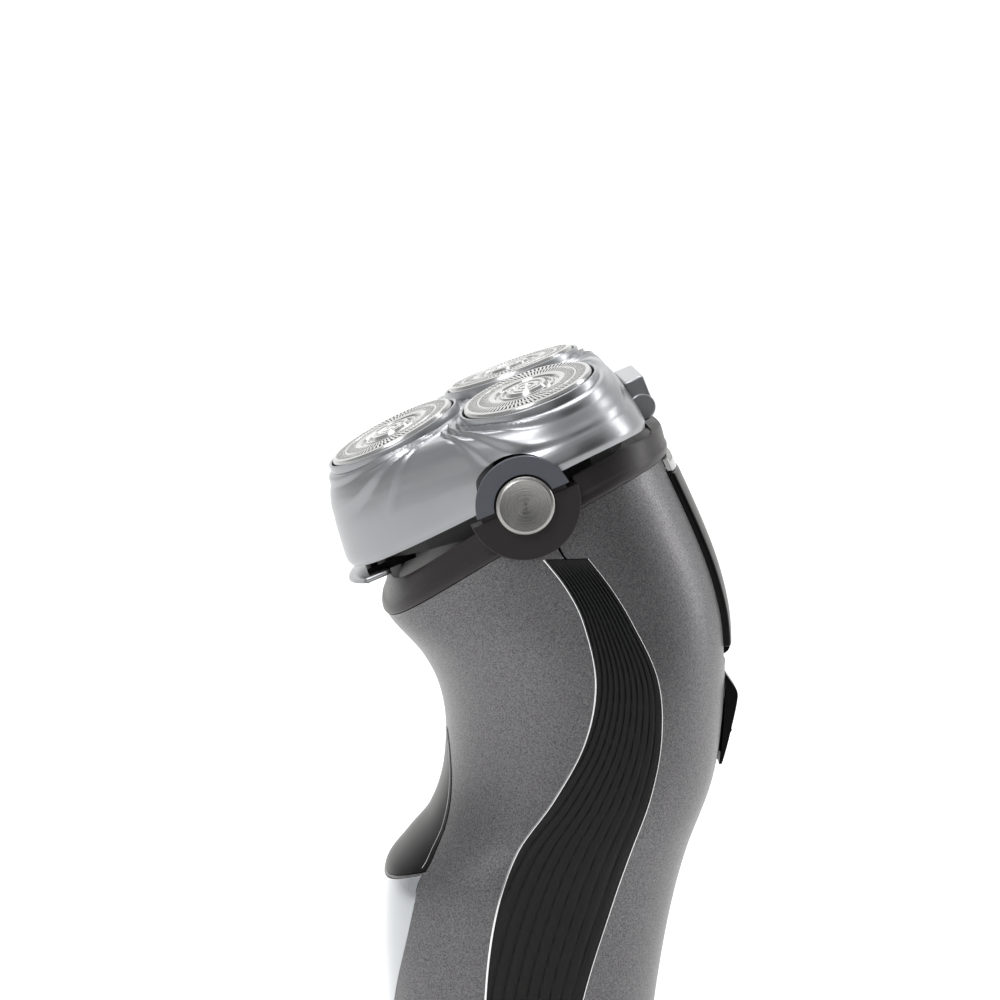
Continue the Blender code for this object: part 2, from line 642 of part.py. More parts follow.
def gear_train():
    """The middle gear turned by the motor, and one gear and spindle under each guard."""
    middle = (HEAD_MIDDLE, 0)
    drive = piece("drive_gear", plate("drive_gear", gear_outline(middle, 0), GEAR_LOW, GEAR_HIGH),
                  "gear_white", HEAD)
    join(drive, helper("drive_stem", rod("stem", 1.5, (*middle, -5.6), (*middle, 3.2), 16), HEAD))
    for name, angle in GUARD_ANGLES.items():
        centre = guard_centre(name)
        first = angle + 180 + 180 / GEAR_TEETH
        gear = piece(f"gear_{name}", plate("gear", gear_outline(centre, first), GEAR_LOW, GEAR_HIGH),
                     "gear_white", HEAD)
        cut(gear, helper(f"gear_bore_{name}", rod("bore", 1.7, (*centre, 1), (*centre, 5), 16), HEAD))
        shaft = ((0, 10.0), (1.1, 10.0), (1.5, 9.5), (1.5, 7.4), (2.6, 7.2), (2.6, 5.5), (1.5, 5.4),
                 (1.5, 1.1), (0, 1.1))
        spindle = piece(f"spindle_{name}", profile_mesh("spindle", shaft), "steel", HEAD)
        spindle.location = (centre[0] * MM, centre[1] * MM, 0)
        turn(spindle, 12)


def drive():
    """The motor in the neck, its clamp, and the rotor, shaft and cup that turn the middle gear."""
    can = ((0, -12.4), (3.6, -12.4), (3.6, -14), (10.6, -14), (11.5, -14.9), (11.5, -45), (10.5, -46),
           (2.4, -46), (2.4, -47.4), (0, -47.4))
    motor = piece("motor", profile_mesh("motor", can), "steel", HEAD)
    shaft = ((0, -7.7), (1.0, -7.7), (1.0, -16), (0, -16))
    rotor = piece("motor_shaft", profile_mesh("motor_shaft", shaft), "steel", HEAD)
    cup = ((0, -7.9), (2.3, -7.9), (2.3, -4.6), (3.3, -4.6), (3.3, -11.4), (0, -11.4))
    coupling = piece("drive_cup", profile_mesh("drive_cup", cup), "gear_white", HEAD)
    for obj in (motor, rotor, coupling):
        obj.location.x = HEAD_MIDDLE * MM
        turn(obj, 20)
    middle = HEAD_MIDDLE
    cut(motor, helper("shaft_room", rod("room", 1.2, (middle, 0, -17), (middle, 0, -11), 16), HEAD),
        helper("rotor_room", rod("room", 10.0, (middle, 0, -44.5), (middle, 0, -15.5), 28), HEAD))
    join(rotor, helper("rotor_core", rod("core", 8.6, (middle, 0, -43), (middle, 0, -15.9), 24),
                       HEAD))
    cut(coupling, helper("cup_bore", rod("bore", 1.2, (middle, 0, -12), (middle, 0, -7), 16), HEAD))
    clamp = piece("motor_clamp", rod("clamp", 13.8, (middle, 0, -30), (middle, 0, -23), 32),
                  "black_matt", HEAD)
    cut(clamp, helper("clamp_bore", rod("bore", 11.8, (middle, 0, -32), (middle, 0, -21), 32), HEAD))


def inside_handle():
    """The chassis, the two cells, the board and its switch."""
    frame = piece("chassis", box("chassis", (-7.4, -13, 15), (-5.9, 13, 100)), "black_matt")
    join(frame, helper("shelf", box("shelf", (-6.5, -13, 65), (17, 13, 66.6))),
         helper("cell_seat", box("cell_seat", (-6.5, -13, 12), (9.5, 13, 16))))
    for name, y in (("left", -7.6), ("right", 7.6)):
        piece(f"cell_{name}", rod("cell", 7.1, (3.5, y, 16.4), (3.5, y, 64.6), 24), "cell_blue")
    piece("circuit_board", box("board", (-10.4, -11, 18), (-9.0, 11, 96)), "board_green")
    piece("power_switch", box("switch", (-12.0, -3, 77), (-10.7, 3, 83)), "black_matt")


def front_controls():
    """The thumb button over the switch, and the clear window below it."""
    button = piece("power_button", button_mesh("power_button", 0, 0.1, 1.5), "black_gloss")
    join(button, helper("button_post", rod("post", 1.6, (-15.6, 0, 80), (-13.0, 0, 80), 16)))
    piece("display_window", window_mesh("display_window", 0, 0.1, 1.3), "window")


def trimmer():
    """The pop-out trimmer: bay, arm, comb, moving blade, hinge pin and the slide that frees it."""
    hinge_x, hinge_z = TRIMMER_HINGE
    bay = piece("trimmer_bay", rear_patch("bay", TRIMMER_HALF, 104.9, 136, -0.4, -4.4, 1.2),
                "black_matt")
    arm = piece("trimmer_arm", rear_patch("arm", TRIMMER_HALF, 107, TRIMMER_TOP, -0.3,
                                          TRIMMER_PROUD, 2.6), "black_gloss")
    barrel = rod("barrel", 1.6, (hinge_x, -6.5, hinge_z), (hinge_x, 6.5, hinge_z), 20)
    join(arm, helper("barrel", barrel))
    cut(arm, helper("arm_bore", rod("bore", 0.9, (hinge_x, -12, hinge_z), (hinge_x, 12, hinge_z), 12)))
    cut(bay, helper("barrel_room", rod("room", 2.0, (hinge_x, -12, hinge_z),
                                       (hinge_x, 12, hinge_z), 20)))
    piece("trimmer_comb", rear_patch("comb", TRIMMER_HALF, TRIMMER_TOP + 0.3, COMB_TOP, -0.6,
                                     TRIMMER_PROUD - 0.2, 0.8), "steel")
    piece("trimmer_blade", rear_patch("blade", TRIMMER_HALF, TRIMMER_TOP + 0.3, COMB_TOP - 0.2, -1.8,
                                      TRIMMER_PROUD - 1.6, 0.7), "steel")
    piece("trimmer_pin", rod("pin", 0.7, (hinge_x, -6.4, hinge_z), (hinge_x, 6.4, hinge_z), 12),
          "steel")
    slide = piece("trimmer_slide", rear_patch("slide", ((80, 5.2), (110, 5.8)), 86.2, 101.6, 0,
                                              2.5, 2.2), "black_gloss")
    join(slide, helper("slide_foot", box("slide_foot", (27.5, -3, 88), (33.0, 3, 96))))


for old in list(bpy.data.objects):
    bpy.data.objects.remove(old, do_unlink=True)
SHAVER = collection("electric_shaver")
HELPERS = collection("cutters")
HEAD, GUARDS = frames()
housings()
grips()
foot_cap()
collar()
pivots()
head_base()
head_cover()
release_button()
retaining_frame()
guards()
gear_train()
drive()
inside_handle()
front_controls()
trimmer()
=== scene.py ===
import json
import math

import bmesh
import bpy
from mathutils import Matrix, Vector


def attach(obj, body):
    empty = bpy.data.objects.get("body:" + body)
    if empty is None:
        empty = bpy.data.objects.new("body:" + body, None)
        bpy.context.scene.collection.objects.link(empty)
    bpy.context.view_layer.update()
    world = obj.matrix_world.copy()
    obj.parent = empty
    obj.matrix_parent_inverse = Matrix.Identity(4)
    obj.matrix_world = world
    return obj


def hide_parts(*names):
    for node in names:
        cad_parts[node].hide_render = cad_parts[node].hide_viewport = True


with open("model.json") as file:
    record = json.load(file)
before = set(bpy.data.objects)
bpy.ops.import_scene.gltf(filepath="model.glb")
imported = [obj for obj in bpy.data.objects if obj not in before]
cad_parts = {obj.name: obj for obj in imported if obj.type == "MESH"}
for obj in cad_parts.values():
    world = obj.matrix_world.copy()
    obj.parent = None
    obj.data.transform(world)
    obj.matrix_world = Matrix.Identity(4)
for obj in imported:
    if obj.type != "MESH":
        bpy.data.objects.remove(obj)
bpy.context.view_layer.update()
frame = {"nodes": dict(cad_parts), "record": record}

MM = 0.001


def linear(hex_colour):
    """An sRGB hex colour as a linear RGBA value."""
    parts = [int(hex_colour[i:i + 2], 16) / 255 for i in (0, 2, 4)]
    return (*[c / 12.92 if c <= 0.04045 else ((c + 0.055) / 1.055) ** 2.4 for c in parts], 1.0)


def add(tree, kind, settings=None, **links):
    """A node with its settings and its input links."""
    made = tree.nodes.new(kind)
    for key, value in (settings or {}).items():
        if key in made.inputs:
            made.inputs[key].default_value = value
        else:
            setattr(made, key, value)
    for key, source in links.items():
        tree.links.new(source, made.inputs[key.replace("_", " ")])
    return made


def material(name, colour, metallic, roughness, **settings):
    """A Principled material, with its shader and its node tree."""
    made = bpy.data.materials.new(name)
    made.use_nodes = True
    tree = made.node_tree
    shader = tree.nodes["Principled BSDF"]
    shader.inputs["Base Color"].default_value = linear(colour)
    shader.inputs["Metallic"].default_value = metallic
    shader.inputs["Roughness"].default_value = roughness
    for key, value in settings.items():
        shader.inputs[key.replace("_", " ")].default_value = value
    return made, tree, shader


def roughened(tree, shader, source, low, high):
    """Lets a pattern vary the roughness between two values."""
    spread = add(tree, "ShaderNodeMapRange", {"To Min": low, "To Max": high}, Value=source)
    tree.links.new(spread.outputs["Result"], shader.inputs["Roughness"])


def embossed(tree, shader, source, strength, distance):
    """Lets a pattern raise the surface; the distance is in metres."""
    relief = add(tree, "ShaderNodeBump", {"Strength": strength, "Distance": distance},
                 Height=source)
    tree.links.new(relief.outputs["Normal"], shader.inputs["Normal"])


def mesh_piece(name, bm, look):
    """A piece from a bmesh in millimetres; its place is in its mesh."""
    bmesh.ops.remove_doubles(bm, verts=bm.verts, dist=0.0005)
    bmesh.ops.recalc_face_normals(bm, faces=bm.faces)
    bmesh.ops.scale(bm, vec=Vector((MM, MM, MM)), verts=bm.verts)
    mesh = bpy.data.meshes.new(name)
    bm.to_mesh(mesh)
    bm.free()
    mesh.materials.append(look)
    mesh.shade_smooth()
    mesh.set_sharp_from_angle(angle=math.radians(32))
    obj = bpy.data.objects.new(name, mesh)
    bpy.context.scene.collection.objects.link(obj)
    return obj


# White card: fully matt, so it stays even and shadowless.
paper, paper_tree, paper_shader = material("studio_paper", "f4f4f3", 0.0, 0.9)
grain = add(paper_tree, "ShaderNodeTexNoise", {"Scale": 900.0})
paper_tree.links.new(add(paper_tree, "ShaderNodeBump", {"Strength": 0.05},
                         Height=grain.outputs["Fac"]).outputs["Normal"],
                     paper_shader.inputs["Normal"])
sweep = bmesh.new()
edge = [(-1400, 0), (700, 0), (980, 60), (1100, 300), (1120, 1800)]
first = [sweep.verts.new((-2200, y, z)) for y, z in edge]
runs = [sweep.edges.new(pair) for pair in zip(first, first[1:])]
moved = bmesh.ops.extrude_edge_only(sweep, edges=runs)["geom"]
bmesh.ops.translate(sweep, vec=Vector((4400, 0, 0)),
                    verts=[item for item in moved if isinstance(item, bmesh.types.BMVert)])
mesh_piece("paper_sweep", sweep, paper)


def softbox(name, place, target, size, power):
    light = bpy.data.lights.new(name, "AREA")
    light.shape = "RECTANGLE"
    light.size, light.size_y = size
    light.energy = power
    lamp = bpy.data.objects.new(name, light)
    lamp.location = place
    lamp.rotation_euler = (Vector(target) - Vector(place)).to_track_quat("-Z", "Y").to_euler()
    bpy.context.scene.collection.objects.link(lamp)


MIDDLE = (0, 0, 0.11)
softbox("key", (-0.45, -0.75, 0.75), MIDDLE, (0.4, 0.4), 4.4)
softbox("top", (0.0, 0.05, 0.85), MIDDLE, (0.5, 0.5), 2.2)
softbox("rim", (0.6, 0.1, 0.35), MIDDLE, (0.12, 0.6), 1.5)
softbox("wall", (0.0, 0.35, 1.2), (0, 1.1, 0.4), (1.6, 0.6), 14)
# Black velvet on a card: it gives the lacquer a dark side to mirror.
velvet, velvet_tree, velvet_shader = material("black_velvet", "050505", 0.0, 1.0)
nap = add(velvet_tree, "ShaderNodeTexNoise", {"Scale": 600.0})
velvet_tree.links.new(add(velvet_tree, "ShaderNodeBump", {"Strength": 0.1},
                          Height=nap.outputs["Fac"]).outputs["Normal"],
                      velvet_shader.inputs["Normal"])
for name, place, size, angle in (("flag_right", (330, -330, 180), (380, 500), 40),
                                 ("flag_low", (0, -480, 40), (700, 160), 0)):
    flag = bmesh.new()
    bmesh.ops.create_grid(flag, x_segments=1, y_segments=1, size=0.5, matrix=Matrix.Translation(
        place) @ Matrix.Rotation(math.radians(angle), 4, "Z")
        @ Matrix.Rotation(math.radians(90), 4, "X") @ Matrix.Diagonal((*size, 1, 1)))
    mesh_piece(name, flag, velvet)
bpy.context.scene.view_settings.view_transform = "Standard"
world = bpy.data.worlds.new("studio")
bpy.context.scene.world = world
world.use_nodes = True
world.node_tree.nodes["Background"].inputs["Color"].default_value = linear("ffffff")
world.node_tree.nodes["Background"].inputs["Strength"].default_value = 0.5

VIEW_AZIMUTH, VIEW_HEIGHT, VIEW_DISTANCE = math.radians(-6), math.radians(9.5), 0.7
SEEN_WIDTH = 0.1625
target = Vector((-0.008, -0.020, 0.1345))
away = Vector((math.sin(VIEW_AZIMUTH) * math.cos(VIEW_HEIGHT),
               -math.cos(VIEW_AZIMUTH) * math.cos(VIEW_HEIGHT), math.sin(VIEW_HEIGHT)))
camera_data = bpy.data.cameras.new("camera")
camera_data.sensor_width = 36
camera_data.lens = 36 * VIEW_DISTANCE / SEEN_WIDTH
camera = bpy.data.objects.new("camera", camera_data)
camera.location = target + away * VIEW_DISTANCE
camera.rotation_euler = (-away).to_track_quat("-Z", "Y").to_euler()
bpy.context.scene.collection.objects.link(camera)
bpy.context.scene.camera = camera

# --- The two handle shells ------------------------------------------------------------------
# Moulded ABS, parted under the side grips, sprayed with a grey metallic lacquer whose flakes
# sparkle as a fine speckle under a thin satin clear coat.
SQUARENESS = 2.25
FRONT_EDGE = ((0, -20.5), (22, -23.9), (45, -25.6), (60, -26.2), (69, -25.0), (73.5, -21.6),
              (78, -17.8), (85, -15.3), (93, -14.9), (100, -16.2), (106, -19.3), (113, -25.2),
              (121, -27.0), (150, -27.0))
REAR_EDGE = ((0, 16.5), (25, 18.2), (44, 20.1), (60, 22.6), (72, 25.6), (84, 29.9), (94, 31.4),
             (106, 31.9), (114, 31.3), (124, 28.4), (140, 21.3), (150, 16.5))
HALF_WIDTH = ((0, 19.0), (20, 21.2), (45, 22.6), (70, 23.6), (95, 24.6), (112, 25.4), (130, 26.0),
              (150, 26.0))
GRIP_FRONT = ((14, -8.6), (22, -9.6), (36, -10.4), (52, -10.5), (66, -8.8), (76, -5.4), (85, 0.6),
              (95, 5.6), (105, 7.2), (115, 5.1), (121, 2.1), (127, -2.6))
GRIP_REAR = ((14, -1.2), (22, 0.4), (36, 2.6), (52, 5.9), (66, 10.2), (76, 13.5), (85, 16.6),
             (95, 18.3), (105, 17.5), (115, 12.9), (121, 9.2), (127, 4.6))
NECK_FRONT = -24.6
COLLAR_LOW = (113.2, 0.5786, 3.8)
COLLAR_HIGH = (118.7, 0.567, 4.8)
SHELL_LOW = 7.3


def smooth(points, at):
    """A smooth curve through (place, value) points, read at one place."""
    at = min(max(at, points[0][0]), points[-1][0])
    right = next((i for i in range(1, len(points)) if points[i][0] >= at), len(points) - 1)
    (x0, y0), (x1, y1) = points[right - 1], points[right]

    def slope(i):
        before, after = points[max(i - 1, 0)], points[min(i + 1, len(points) - 1)]
        return (after[1] - before[1]) / (after[0] - before[0])

    span = x1 - x0
    t = (at - x0) / span
    return (y0 * (1 + 2 * t) * (1 - t) ** 2 + y1 * t * t * (3 - 2 * t)
            + span * (slope(right - 1) * t * (1 - t) ** 2 - slope(right) * t * t * (1 - t)))


def section(height):
    front, rear = smooth(FRONT_EDGE, height), smooth(REAR_EDGE, height)
    return (rear + front) / 2, (rear - front) / 2, smooth(HALF_WIDTH, height)


def skin_y(x, height):
    middle, depth, width = section(height)
    inside = max(0.0, 1 - min(1.0, abs(x - middle) / depth) ** SQUARENESS)
    return width * inside ** (1 / SQUARENESS)


def skin_x(y, height, side):
    middle, depth, width = section(height)
    inside = max(0.0, 1 - min(1.0, abs(y) / width) ** SQUARENESS)
    return middle + side * depth * inside ** (1 / SQUARENESS)


def neck_edge(edge, x, y):
    low, rise, arch = edge
    return low + rise * (x - NECK_FRONT) + arch * (y / 25.5) ** 2


def around(angle, height):
    middle, depth, width = section(height)
    cos, sin = math.cos(angle), math.sin(angle)
    power = 2 / SQUARENESS
    return (middle + depth * math.copysign(abs(cos) ** power, cos),
            width * math.copysign(abs(sin) ** power, sin))


def shell_point(side, s, t):
    """A point of the front (-1) or rear (1) skin, from the foot cap to the collar."""
    height = SHELL_LOW + t * 110
    for _ in range(10):
        seam = (smooth(GRIP_FRONT, height) + smooth(GRIP_REAR, height)) / 2 + side * 0.2
        middle, depth, _width = section(height)
        ratio = (seam - middle) / depth
        part = math.acos(math.copysign(abs(ratio) ** (SQUARENESS / 2), ratio))
        angle = part + s * (2 * math.pi - 2 * part) if side < 0 else part * (2 * s - 1)
        x, y = around(angle, height)
        height = SHELL_LOW + t * (neck_edge(COLLAR_LOW, x, y) - 0.15 - SHELL_LOW)
    return x, y, height


def grid(across, up, where):
    """A bmesh grid whose corners where(s, t) places, in millimetres."""
    bm = bmesh.new()
    bmesh.ops.create_grid(bm, x_segments=across, y_segments=up, size=0.5)
    for vert in bm.verts:
        vert.co = where(vert.co.x + 0.5, vert.co.y + 0.5)
    return bm


def slab(across, up, where, push):
    """A closed patch: a grid pushed along one direction."""
    bm = grid(across, up, where)
    out = bmesh.ops.extrude_face_region(bm, geom=list(bm.faces))["geom"]
    bmesh.ops.translate(bm, vec=Vector(push),
                        verts=[item for item in out if isinstance(item, bmesh.types.BMVert)])
    bmesh.ops.recalc_face_normals(bm, faces=bm.faces)
    return bm


def applied(obj):
    """Makes the piece's modifiers part of its mesh."""
    bpy.context.view_layer.update()
    graph = bpy.context.evaluated_depsgraph_get()
    mesh = bpy.data.meshes.new_from_object(obj.evaluated_get(graph))
    obj.modifiers.clear()
    obj.data = mesh
    return obj


def carve(obj, *cutters):
    """Cuts closed bmeshes out of a piece."""
    made = []
    for bm in cutters:
        cutter = mesh_piece("cutter", bm, obj.data.materials[0])
        step = obj.modifiers.new("cut", "BOOLEAN")
        step.object = cutter
        step.solver = "MANIFOLD"
        made.append(cutter)
    applied(obj)
    for cutter in made:
        bpy.data.objects.remove(cutter)
    obj.data.shade_smooth()
    obj.data.set_sharp_from_angle(angle=math.radians(32))
    return obj


def wall(obj, thickness):
    """Gives an open skin a wall, measured inward."""
    step = obj.modifiers.new("wall", "SOLIDIFY")
    step.thickness = thickness * MM
    step.offset = -1
    step.use_even_offset = True
    return applied(obj)


def cylinder(radius, start, end, segments=64):
    bm = bmesh.new()
    way = Vector(end) - Vector(start)
    turn = way.to_track_quat("Z", "Y").to_matrix().to_4x4()
    bmesh.ops.create_cone(bm, cap_ends=True, segments=segments, radius1=radius,
                          radius2=radius, depth=way.length,
                          matrix=Matrix.Translation((Vector(start) + Vector(end)) / 2) @ turn)
    return bm


def moved_by(bm, matrix):
    bmesh.ops.transform(bm, matrix=matrix, verts=bm.verts)
    return bm


# Grey lacquer: a fine light-and-dark speckle with a soft sheen.
lacquer, tree, shader = material("metallic_lacquer", "6c6b6d", 0.75, 0.42, Coat_Weight=0.12,
                                 Coat_Roughness=0.25)
where_on = add(tree, "ShaderNodeTexCoord")
flakes = add(tree, "ShaderNodeTexVoronoi", {"Scale": 5200.0}, Vector=where_on.outputs["Object"])
clouds = add(tree, "ShaderNodeTexNoise", {"Scale": 4200.0, "Detail": 3.0},
             Vector=where_on.outputs["Object"])
speckle = add(tree, "ShaderNodeValToRGB", None, Fac=clouds.outputs["Fac"])
speckle.color_ramp.elements[0].position = 0.36
speckle.color_ramp.elements[0].color = linear("545355")
speckle.color_ramp.elements[1].position = 0.64
speckle.color_ramp.elements[1].color = linear("7b7a7c")
tree.links.new(speckle.outputs["Color"], shader.inputs["Base Color"])
roughened(tree, shader, flakes.outputs["Distance"], 0.34, 0.52)
embossed(tree, shader, clouds.outputs["Fac"], 0.12, 0.00004)

BUTTON_HALF = ((68, 14.2), (72.4, 13.8), (77.6, 10.8), (83.6, 7.6), (88.6, 4.2), (92.6, 1.2))
WINDOW_HALF = ((33, 1.6), (40, 4.8), (48, 8.6), (57, 12.4), (65, 14.2), (71, 14.0))
TRIMMER_HALF = ((104, 8.5), (120, 10.5), (142, 12.5))


def front_patch(half, low, high, grow, proud, depth, across=40, up=60):
    """A piece let into the front; low and high are (height in the middle, rise at the sides)."""
    def where(s, t):
        side = 2 * s - 1
        bottom = low[0] - grow + low[1] * side ** 2
        top = high[0] + grow + high[1] * side ** 2
        height = bottom + t * (top - bottom)
        y = side * (smooth(half, height) + grow)
        return skin_x(y, height, -1) - proud, y, height

    return slab(across, up, where, (depth, 0, 0))


def rear_patch(half, low, high, grow, proud, depth, across=30, up=40):
    """A piece let into the rear."""
    def where(s, t):
        height = low - max(grow, 0) + t * (high - low + 2 * max(grow, 0))
        y = (2 * s - 1) * (smooth(half, height) + grow)
        return skin_x(y, height, 1) + proud, y, height

    return slab(across, up, where, (-depth, 0, 0))


def grip_x(height, s, grow):
    return ((1 - s) * (smooth(GRIP_FRONT, height) - grow)
            + s * (smooth(GRIP_REAR, height) + grow))


def grip_patch(side, grow, proud, depth, across=14, up=90):
    def where(s, t):
        height = 15 - grow + t * (110.5 + 2 * grow)
        x = grip_x(height, s, grow)
        return x, side * (skin_y(x, height) + proud), height

    return slab(across, up, where, (0, -side * depth, 0))


PIVOT = Vector((-4.9, 0, 135.1))
HEAD = Matrix.Translation(PIVOT) @ Matrix.Rotation(math.radians(-22), 4, "Y")
for name, side in (("front_shell", -1), ("rear_shell", 1)):
    shell = mesh_piece(name, grid(72, 84, lambda s, t: shell_point(side, s, t)), lacquer)
    wall(shell, 1.8)
    cutters = [grip_patch(flank, 0.12, 1.0, 2.3) for flank in (-1, 1)]
    cutters += [moved_by(cylinder(9.35, (0, flank * 22.4, 0), (0, flank * 34, 0)), HEAD)
                for flank in (-1, 1)]
    if side < 0:
        cutters += [front_patch(BUTTON_HALF, (68.2, 3.0), (92.4, 0), 0.12, 3, 12),
                    front_patch(WINDOW_HALF, (33.5, 0), (67.5, 3.0), 0.12, 3, 4.3)]
    else:
        cutters += [rear_patch(TRIMMER_HALF, 104.4, 146, 0.2, 3, 9)]
        slide_room = bmesh.new()
        bmesh.ops.create_cube(slide_room, size=1, matrix=Matrix.Translation((31, 0, 95))
                              @ Matrix.Diagonal((18, 6.8, 15, 1)))
        cutters.append(slide_room)
    carve(shell, *cutters)
    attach(shell, "handle")
    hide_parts("front_housing" if side < 0 else "rear_housing")

# --- The side grips -------------------------------------------------------------------------
# Soft black rubber moulded into a recess across each shell joint. Long ribs fan out down the
# inlay, run off at its rear edge and die away towards both ends.
# Black rubber: dull, with a faint dusty grain.
rubber, tree, shader = material("ribbed_rubber", "101010", 0.0, 0.55, Specular_IOR_Level=0.3)
where_on = add(tree, "ShaderNodeTexCoord")
pores = add(tree, "ShaderNodeTexNoise", {"Scale": 3500.0, "Detail": 3.0},
            Vector=where_on.outputs["Object"])
roughened(tree, shader, pores.outputs["Fac"], 0.5, 0.72)
embossed(tree, shader, pores.outputs["Fac"], 0.2, 0.00003)
RIBS = 13
RIB_HEIGHT = 0.42


def rib_lift(s, t):
    """How far a rib stands up: rounded lands with narrow valleys between them."""
    lane = (s * 0.92 + 0.42 * (1 - t) ** 1.1 * (1 - s)) * RIBS
    wave = abs(math.sin(math.pi * lane)) ** 0.55
    fade = min(1.0, s / 0.05, (1 - s) / 0.03, t / 0.02, (1 - t) / 0.03)
    return RIB_HEIGHT * (wave - 1) * max(0.0, fade)


for name, side in (("grip_left", -1), ("grip_right", 1)):
    def where(s, t, side=side):
        height = 15 + t * 110.5
        x = grip_x(height, s, 0)
        return x, side * (skin_y(x, height) + 0.15 + rib_lift(s, t)), height

    inlay = mesh_piece(f"ribbed_{name}", slab(120, 150, where, (0, -side * 1.9, 0)), rubber)
    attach(inlay, "handle")
    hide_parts(name)

# --- The grip edge highlights ---------------------------------------------------------------
# A thin bright metal bead along the front edge of each grip, and a finer one along its rear
# edge: painted highlights that stand in for the light caught by the shell's edges there.
# Bright metal bead: a hard, bright thread of light; on the grips it is a painted highlight, and it
# also draws the button border.
chrome_and_highlight, tree, shader = material("chrome_and_edge_highlight", "e9eaec", 1.0, 0.14)
shine = add(tree, "ShaderNodeTexNoise", {"Scale": 400.0})
roughened(tree, shader, shine.outputs["Fac"], 0.1, 0.2)


def bead(name, points, radius, look):
    """A thin round bead along points, given in millimetres."""
    curve = bpy.data.curves.new(name, "CURVE")
    curve.dimensions = "3D"
    curve.bevel_depth = radius * MM
    curve.bevel_resolution = 3
    curve.use_fill_caps = True
    spline = curve.splines.new("POLY")
    spline.points.add(len(points) - 1)
    for point, place in zip(spline.points, points):
        point.co = (*[c * MM for c in place], 1)
    line = bpy.data.objects.new(name, curve)
    bpy.context.scene.collection.objects.link(line)
    bpy.context.view_layer.update()
    mesh = bpy.data.meshes.new_from_object(line.evaluated_get(
        bpy.context.evaluated_depsgraph_get()))
    bpy.data.objects.remove(line)
    bm = bmesh.new()
    bm.from_mesh(mesh)
    bmesh.ops.scale(bm, vec=Vector((1 / MM, 1 / MM, 1 / MM)), verts=bm.verts)
    return mesh_piece(name, bm, look)


# Each grip bead is a painted highlight: a bright thread standing in for the light on the grip's edge.
for label, side in (("left", -1), ("right", 1)):
    for edge_name, s, radius in (("front", 0, 0.2), ("rear", 1, 0.11)):
        points = []
        for i in range(100):
            height = 14.9 + i * 110.7 / 99
            x = grip_x(height, s, 0.06)
            points.append((x, side * (skin_y(x, height) + 0.04), height))
        line = bead(f"grip_edge_highlight_{edge_name}_{label}", points, radius, chrome_and_highlight)
        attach(line, "handle")

# --- The thumb button and the window --------------------------------------------------------
# The button is a gloss black rocker shaped like a drop, hollowed for the thumb, over the
# switch. The window below it is a tongue of clear plastic, silvered from behind.
# Gloss black moulding: nearly no light back, with one soft highlight.
piano, tree, shader = material("gloss_black_abs", "050505", 0.0, 0.3, Specular_IOR_Level=0.12)
flow = add(tree, "ShaderNodeTexNoise", {"Scale": 220.0, "Detail": 2.0})
roughened(tree, shader, flow.outputs["Fac"], 0.24, 0.38)
# Silvered plastic: pale and mirror-like, sharper towards its top.
silvered, tree, shader = material("silvered_window", "adb0b4", 0.8, 0.16, Coat_Weight=1.0,
                                  Coat_Roughness=0.04)
where_on = add(tree, "ShaderNodeTexCoord")
parts = add(tree, "ShaderNodeSeparateXYZ", Vector=where_on.outputs["Object"])
tree.links.new(add(tree, "ShaderNodeMapRange", {"From Min": 0.034, "From Max": 0.070,
                                                "To Min": 0.26, "To Max": 0.12},
                   Value=parts.outputs["Z"]).outputs["Result"], shader.inputs["Roughness"])


def rounded(obj, width, segments=3):
    step = obj.modifiers.new("round", "BEVEL")
    step.width = width * MM
    step.segments = segments
    step.limit_method = "ANGLE"
    step.angle_limit = math.radians(40)
    return applied(obj)


button = mesh_piece("thumb_button", front_patch(BUTTON_HALF, (68.2, 3.0), (92.4, 0), 0, 0.1, 1.5),
                    piano)
rounded(button, 0.35)
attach(button, "power_button")
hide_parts("power_button")
post = mesh_piece("button_post", cylinder(1.6, (-15.4, 0, 80), (-13.0, 0, 80), 24), piano)
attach(post, "power_button")
glass = mesh_piece("display_tongue", front_patch(WINDOW_HALF, (33.5, 0), (67.5, 3.0), 0, 0.1, 1.3),
                   silvered)
rounded(glass, 0.25)
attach(glass, "handle")
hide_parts("display_window")
border = []
for i in range(61):
    side = 1 - i / 30
    t = abs(side)
    height = 91.9 - 20.4 * t ** 0.8
    y = math.copysign(max(0.0, smooth(BUTTON_HALF, height) - 0.9) * min(1.0, t / 0.05), side)
    border.append((skin_x(y, height, -1) - 0.1, y, height))
line = bead("button_border", border, 0.07, chrome_and_highlight)
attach(line, "power_button")

# --- The collar -----------------------------------------------------------------------------
# A dark warm-brown moulded bezel that closes the neck, arched over both flanks, with a round
# boss on each side for the pivots of the head.
# Dark brown-black moulding: a quiet satin.
bezel, tree, shader = material("dark_bezel_pc", "282425", 0.0, 0.38, Specular_IOR_Level=0.35)
where_on = add(tree, "ShaderNodeTexCoord")
mottle = add(tree, "ShaderNodeTexNoise", {"Scale": 1500.0, "Detail": 3.0},
             Vector=where_on.outputs["Object"])
roughened(tree, shader, mottle.outputs["Fac"], 0.32, 0.46)
embossed(tree, shader, mottle.outputs["Fac"], 0.08, 0.00003)
COLLAR_STEPS = ((0, 1.006), (0.06, 1.016), (0.3, 1.014), (0.36, 1.004), (0.9, 0.974), (1, 0.964))


def collar_point(s, t):
    angle = 2 * math.pi * s
    height = 125.0
    for _ in range(10):
        x, y = around(angle, height)
        height = neck_edge(COLLAR_LOW, x, y)
    spread = smooth(COLLAR_STEPS, t)
    x, y = (x + 1.0) * spread - 1.0, y * spread
    return x, y, height + t * (neck_edge(COLLAR_HIGH, x, y) - height)


